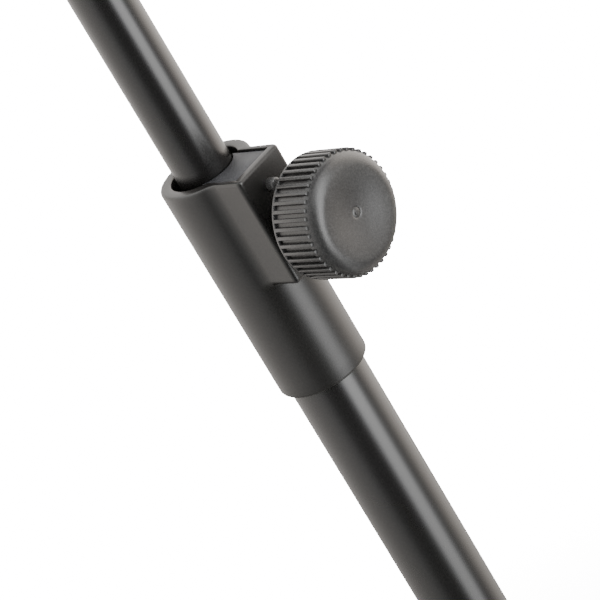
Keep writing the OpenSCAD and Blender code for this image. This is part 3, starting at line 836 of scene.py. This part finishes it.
def knob_outline(r):
    """The core's closed outline: back, grooves, shoulder, hollow face and inside."""
    core = r - RIB_DEPTH
    groove = core - GROOVE_DEPTH
    face = core - SHOULDER
    total = BAND + COVER
    path = [tuple(p) for p in rounded([
        (r - RIM, 0, 0.5 * MM), (r - 0.25 * MM, 0, 0.35 * MM), (r - 0.08 * MM, RIB_START, 0.15 * MM),
        (groove, RIB_START + 0.1 * MM, 0), (groove, total - SHOULDER - GROOVE_DEPTH, 0),
        (core, total - SHOULDER, 0)], 4, loop=False)]
    for k in range(1, 15):
        a = math.pi / 2 * k / 14
        path.append((core - SHOULDER * (1 - math.cos(a)), total - SHOULDER * (1 - math.sin(a))))
    for s in np.linspace(1, 0.17, 16)[1:]:
        path.append((face * s, total - DISH * (1 - s * s) ** 2))
    flat = total - DISH
    gate = ((1.75, 0.02), (1.6, -0.12), (1.35, -0.12), (1.2, 0), (0.75, 0), (0.6, 0.15), (0, 0.18))
    path += [(reach * MM, flat + lift * MM) for reach, lift in gate]
    bore = HUB_R - HUB_WALL
    path += [(0, WEB), (bore, WEB), (bore, HUB_BACK), (HUB_R, HUB_BACK), (HUB_R, INSIDE), (r - RIM, INSIDE)]
    return path


def rib_object(name, r):
    """One rib: a bar along the axis with sloping sides, squared ends and soft edges."""
    half = math.pi * r / KNOB_RIBS * RIB_SHARE
    top = RIB_DEPTH - 0.02 * MM
    root = half * 1.3
    section = [(-RIB_ROOT, -root), (top, -half), (top, half), (-RIB_ROOT, root)]
    shape = slab(section, RIB_START - 0.05 * MM, BAND)
    return soften(new_object(name, mesh_from(shape, name), KNOB_BLACK), 0.13 * MM, 2, 50)


def knob_piece(name, low_face, direction, diameter, body, node_name):
    """A moulded knob. low_face is the middle of its back, and direction points out of its face."""
    r = diameter / 2
    rib = rib_object(name + "_rib", r)
    ring = grow(name + "_ring", ribs, KNOB_BLACK, Rib=rib, Count=KNOB_RIBS, Radius=r - RIB_DEPTH)
    whole = bmesh.new()
    whole.from_mesh(ring.data)
    bpy.data.objects.remove(rib)
    bpy.data.objects.remove(ring)
    both = joined(lathe(knob_outline(r), 184), whole)
    both.transform(facing(direction, low_face))
    return piece(name, both, KNOB_BLACK, body, node_name, slot="knob_plastic", angle=40)


lock_low, lock_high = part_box("slider_knob")
lock_z = (lock_low.z + lock_high.z) / 2
tilt_low, tilt_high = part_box("tilt_knob")
tilt_z = (tilt_low.z + tilt_high.z) / 2
knob_piece("height_knob_body", (0, knob_high.y, screw_z), FRONT, knob_high.x - knob_low.x,
           "height_knob", "clamp_knob")
knob_piece("lock_knob_body", (0, lock_high.y, lock_z), FRONT, lock_high.x - lock_low.x,
           "lock_knob", "slider_knob")
knob_piece("tilt_knob_body", (tilt_low.x, 0, tilt_z), (1, 0, 0), tilt_high.y - tilt_low.y,
           "tilt_knob", "tilt_knob")

# ---------------------------------------------------------------- hubs, tripod and tilt head


def softened(node_name, body, width, material=None, segments=2, angle=32):
    """A part's own shape with its edges softened, as a cast, folded or moulded piece has them."""
    work = bmesh.new()
    work.from_mesh(frame["nodes"][node_name].data)
    bmesh.ops.remove_doubles(work, verts=work.verts, dist=1e-6)
    bmesh.ops.dissolve_limit(work, angle_limit=math.radians(0.5), verts=work.verts, edges=work.edges)
    slot = slots[node_name]
    made = piece(node_name + "_soft", work, material or SLOT_FINISH[slot], body, node_name, slot=slot,
                 bevel=(width, segments, angle))
    low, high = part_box(node_name)
    for point in made.data.vertices:
        point.co = [min(max(value, a), b) for value, a, b in zip(point.co, low, high)]
    return made


softened("base_hub", "column", 0.8 * MM, segments=3)
softened("slider", "slider", 0.8 * MM, segments=3)
softened("tilt_head", "mast", 0.6 * MM, segments=3)
softened("hub_pins", "column", 0.3 * MM)
softened("slider_pins", "slider", 0.3 * MM)
softened("tilt_bolt", "desk", 0.3 * MM)
softened("tilt_washers", "desk", 0.15 * MM, material=DARK_NYLON)
softened("press_washer", "tilt_press", 0.2 * MM)
softened("desk_bracket", "desk", 0.4 * MM, material=DESK_BLACK)
for number in (1, 2, 3):
    softened(f"strut_{number}", f"strut_{number}", 0.4 * MM)
    softened(f"leg_{number}", f"leg_{number}", 0.45 * MM)
    softened(f"leg_rivet_{number}", f"leg_{number}", 0.3 * MM)
    softened(f"foot_{number}", f"leg_{number}", 1.2 * MM, segments=4)

# ---------------------------------------------------------------- desk

DESK_LEAN = math.radians(22)
DESK_W = 500 * MM
SHEET = 1.5 * MM
BEND = 2 * MM
PANEL_FACE = -30.5 * MM
PANEL_LOW = -165 * MM
PANEL_HIGH = 175 * MM
FLANGE = 9 * MM
HOLE_R = 7 * MM
HOLE_PITCH = 40 * MM
HOLE_COLUMNS = 11
HOLE_ROWS = 7
HOLE_MIDDLE = 13 * MM
PLAIN_WIDTH = 47 * MM
PLAIN_HEIGHT = 51 * MM
CORNER_GAP = 0.2 * MM
LEDGE_DEPTH = 55 * MM
LEDGE_LAP = 16 * MM
LEDGE_EDGE = 9 * MM
LEDGE_DROP = 0.05 * MM
desk = Matrix.Translation((0, 0, tilt_z)) @ Matrix.Rotation(-DESK_LEAN, 4, "X")
along_x = Matrix(((0, 0, 1, 0), (1, 0, 0, 0), (0, 1, 0, 0), (0, 0, 0, 1)))
sheet_plane = Matrix.Rotation(math.radians(90), 4, "X")


def perforated_tree():
    """A flat sheet with a grid of round holes, left whole where the bracket is riveted on."""
    tree, start = new_tree(
        "perforated_sheet", ("Width", "Float", 0.5), ("Height", "Float", 0.34), ("Middle", "Float", 0.0),
        ("Thickness", "Float", 0.0015), ("Pitch", "Float", 0.04), ("Hole", "Float", 0.007),
        ("Columns", "Int", 11), ("Rows", "Int", 7), ("Holes Middle", "Float", 0.013),
        ("Plain Width", "Float", 0.047), ("Plain Height", "Float", 0.051))

    def maths(operation, a, b=None):
        made = node(tree, "ShaderNodeMath", operation=operation)
        for place, value in enumerate((a, b)):
            if isinstance(value, (int, float)):
                made.inputs[place].default_value = value
            elif value is not None:
                link(tree, value, made.inputs[place])
        return made.outputs[0]

    def moved(geometry, height):
        shift = node(tree, "ShaderNodeCombineXYZ")
        link(tree, height, shift.inputs["Y"])
        made = node(tree, "GeometryNodeTransform")
        link(tree, geometry, made.inputs["Geometry"])
        link(tree, shift.outputs[0], made.inputs["Translation"])
        return made.outputs["Geometry"]

    grid = node(tree, "GeometryNodeMeshGrid")
    link(tree, start["Columns"], grid.inputs["Vertices X"])
    link(tree, start["Rows"], grid.inputs["Vertices Y"])
    for count, size in (("Columns", "Size X"), ("Rows", "Size Y")):
        gaps = maths("SUBTRACT", start[count], 1)
        link(tree, maths("MULTIPLY", start["Pitch"], gaps), grid.inputs[size])
    spots = moved(grid.outputs["Mesh"], start["Holes Middle"])
    where = node(tree, "GeometryNodeInputPosition")
    parts = node(tree, "ShaderNodeSeparateXYZ")
    link(tree, where.outputs[0], parts.inputs[0])
    near_x = maths("LESS_THAN", maths("ABSOLUTE", parts.outputs["X"]), start["Plain Width"])
    near_y = maths("LESS_THAN", maths("ABSOLUTE", parts.outputs["Y"]), start["Plain Height"])
    keep = node(tree, "GeometryNodeDeleteGeometry", domain="POINT")
    link(tree, spots, keep.inputs["Geometry"])
    link(tree, maths("MULTIPLY", near_x, near_y), keep.inputs["Selection"])
    circle = node(tree, "GeometryNodeCurvePrimitiveCircle")
    circle.inputs["Resolution"].default_value = 40
    link(tree, start["Hole"], circle.inputs["Radius"])
    holes = node(tree, "GeometryNodeInstanceOnPoints")
    link(tree, keep.outputs["Geometry"], holes.inputs["Points"])
    link(tree, circle.outputs["Curve"], holes.inputs["Instance"])
    edge = node(tree, "GeometryNodeCurvePrimitiveQuadrilateral")
    link(tree, start["Width"], edge.inputs["Width"])
    link(tree, start["Height"], edge.inputs["Height"])
    outline = node(tree, "GeometryNodeJoinGeometry")
    link(tree, holes.outputs["Instances"], outline.inputs[0])
    link(tree, moved(edge.outputs["Curve"], start["Middle"]), outline.inputs[0])
    curves = node(tree, "GeometryNodeRealizeInstances")
    link(tree, outline.outputs[0], curves.inputs[0])
    face = node(tree, "GeometryNodeFillCurve")
    link(tree, curves.outputs[0], face.inputs["Curve"])
    thick = node(tree, "GeometryNodeExtrudeMesh", mode="FACES")
    link(tree, face.outputs["Mesh"], thick.inputs["Mesh"])
    link(tree, start["Thickness"], thick.inputs["Offset Scale"])
    thick.inputs["Individual"].default_value = False
    back = node(tree, "GeometryNodeFlipFaces")
    link(tree, face.outputs["Mesh"], back.inputs["Mesh"])
    both = node(tree, "GeometryNodeJoinGeometry")
    link(tree, thick.outputs["Mesh"], both.inputs[0])
    link(tree, back.outputs["Mesh"], both.inputs[0])
    closed = node(tree, "GeometryNodeMergeByDistance")
    closed.inputs["Distance"].default_value = 1e-5
    link(tree, both.outputs[0], closed.inputs["Geometry"])
    return end_tree(tree, start, closed.outputs[0])


def panel_work():
    """The perforated sheet, with its sides and its top folded back."""
    width = DESK_W - 2 * BEND
    height = PANEL_HIGH - BEND - PANEL_LOW
    values = {
        "Width": width, "Height": height, "Middle": (PANEL_HIGH - BEND + PANEL_LOW) / 2, "Thickness": SHEET,
        "Pitch": HOLE_PITCH, "Hole": HOLE_R, "Columns": HOLE_COLUMNS, "Rows": HOLE_ROWS,
        "Holes Middle": HOLE_MIDDLE, "Plain Width": PLAIN_WIDTH, "Plain Height": PLAIN_HEIGHT}
    flat = grow("perforated_flat", perforated_tree(), DESK_BLACK, **values)
    sheet = bmesh.new()
    sheet.from_mesh(flat.data)
    bpy.data.objects.remove(flat)
    bmesh.ops.dissolve_limit(sheet, angle_limit=math.radians(0.5), verts=sheet.verts, edges=sheet.edges)
    rims = [e for e in sheet.edges if e.is_manifold and e.calc_face_angle(0) > 1
            and abs(e.verts[0].co.x) < width / 2 - MM and e.verts[0].co.y < (PANEL_HIGH - BEND) - MM]
    bmesh.ops.bevel(sheet, geom=rims, offset=0.3 * MM, segments=2, affect="EDGES", clamp_overlap=True)
    sheet.transform(Matrix.Translation((0, PANEL_FACE + SHEET, 0)) @ sheet_plane)

    def fold(edge, face, top):
        """The fold's section: it leaves the sheet, turns back and ends in a soft edge."""
        inside = -1 if edge > 0 else 1
        start = edge + inside * BEND
        return [tuple(p) for p in rounded([
            (start, face, 0), (edge, face, BEND), (edge, top, 0.5 * MM),
            (edge + inside * SHEET, top, 0.5 * MM),
            (edge + inside * SHEET, face + SHEET, BEND - SHEET), (start, face + SHEET, 0)], 5)]

    back = PANEL_FACE + FLANGE
    sides = [slab(fold(side * DESK_W / 2, PANEL_FACE, back), PANEL_LOW, PANEL_HIGH - BEND - CORNER_GAP)
             for side in (-1, 1)]
    reach = DESK_W / 2 - BEND - CORNER_GAP
    top = slab([(y, z) for z, y in fold(PANEL_HIGH, PANEL_FACE, back)], -reach, reach, along_x)
    whole = joined(sheet, *sides, top)
    whole.transform(desk)
    return whole


def ledge_work():
    """The shelf for the music: a strip folded up behind the sheet and along its front."""
    half = (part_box("music_ledge")[1].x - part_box("music_ledge")[0].x) / 2
    low = PANEL_LOW - SHEET - LEDGE_DROP
    back = PANEL_FACE + 2 * SHEET
    front = back - LEDGE_DEPTH - SHEET
    soft = 0.5 * MM
    section = rounded([
        (front, low + LEDGE_EDGE, soft), (front, low, BEND), (back, low, BEND),
        (back, low + LEDGE_LAP + SHEET, soft),
        (back - SHEET, low + LEDGE_LAP + SHEET, soft), (back - SHEET, low + SHEET, BEND - SHEET),
        (front + SHEET, low + SHEET, BEND - SHEET), (front + SHEET, low + LEDGE_EDGE, soft)], 5)
    work = slab([tuple(p) for p in section], -half, half, along_x)
    work.transform(desk)
    return work


def rivet_tree():
    """Rivets at the crossings of a grid."""
    tree, start = new_tree("rivet_grid", ("Rivet", "Object", None), ("Columns", "Int", 2), ("Rows", "Int", 2),
                           ("Width", "Float", 0.05), ("Height", "Float", 0.05))
    grid = node(tree, "GeometryNodeMeshGrid")
    for key, place in (("Columns", "Vertices X"), ("Rows", "Vertices Y"),
                       ("Width", "Size X"), ("Height", "Size Y")):
        link(tree, start[key], grid.inputs[place])
    return end_tree(tree, start, copies(tree, start["Rivet"], grid.outputs["Mesh"]).outputs["Instances"])


rivets = rivet_tree()


def rivet_set(name, node_name, head, dome, shank, grip, grid, middle):
    """Domed rivets with a head on each face of the sheets they grip, in a grid on the desk."""
    round_r = (head * head + dome * dome) / (2 * dome)
    turns = np.linspace(0, math.asin(head / round_r), 8)
    cap = [(round_r * math.sin(a), dome - round_r * (1 - math.cos(a))) for a in turns]
    outline = [(r, -h) for r, h in cap] + [(shank, 0), (shank, grip)] + [(r, grip + h) for r, h in cap[::-1]]
    over = Matrix.Rotation(math.radians(180), 4, "X")
    one = new_object(name + "_one", mesh_from(lathe(outline, 28, over), name), DESK_BLACK)
    made = grow(name + "_set", rivets, DESK_BLACK, Rivet=one, **grid)
    bpy.data.objects.remove(one)
    work = bmesh.new()
    work.from_mesh(made.data)
    bpy.data.objects.remove(made)
    work.transform(desk @ Matrix.Translation((0, PANEL_FACE - LEDGE_DROP, middle)) @ sheet_plane)
    return piece(name, work, DESK_BLACK, "desk", node_name, slot="black_paint")


piece("desk_sheet", panel_work(), DESK_BLACK, "desk", "desk_panel", slot="black_paint", angle=30)
piece("ledge_strip", ledge_work(), DESK_BLACK, "desk", "music_ledge", slot="black_paint",
      bevel=(0.3 * MM, 2, 50))
rivet_set("ledge_rivet_row", "ledge_rivets", 3.5 * MM, 1.2 * MM, 1.5 * MM, 2 * SHEET + 2 * LEDGE_DROP,
          {"Columns": 5, "Rows": 1, "Width": 4 * 108 * MM, "Height": 0.0}, PANEL_LOW + LEDGE_LAP / 2)
rivet_set("bracket_rivet_set", "bracket_rivets", 5 * MM, 1.8 * MM, 2 * MM, SHEET + 2 * MM + 2 * LEDGE_DROP,
          {"Columns": 2, "Rows": 2, "Width": 58 * MM, "Height": 64 * MM}, 0)

# ---------------------------------------------------------------- pieces that keep the part's own shape

for name, made in frame["nodes"].items():
    made.data.materials.clear()
    made.data.materials.append(DARK_NYLON if name == "guide_liner" else SLOT_FINISH[slots[name]])
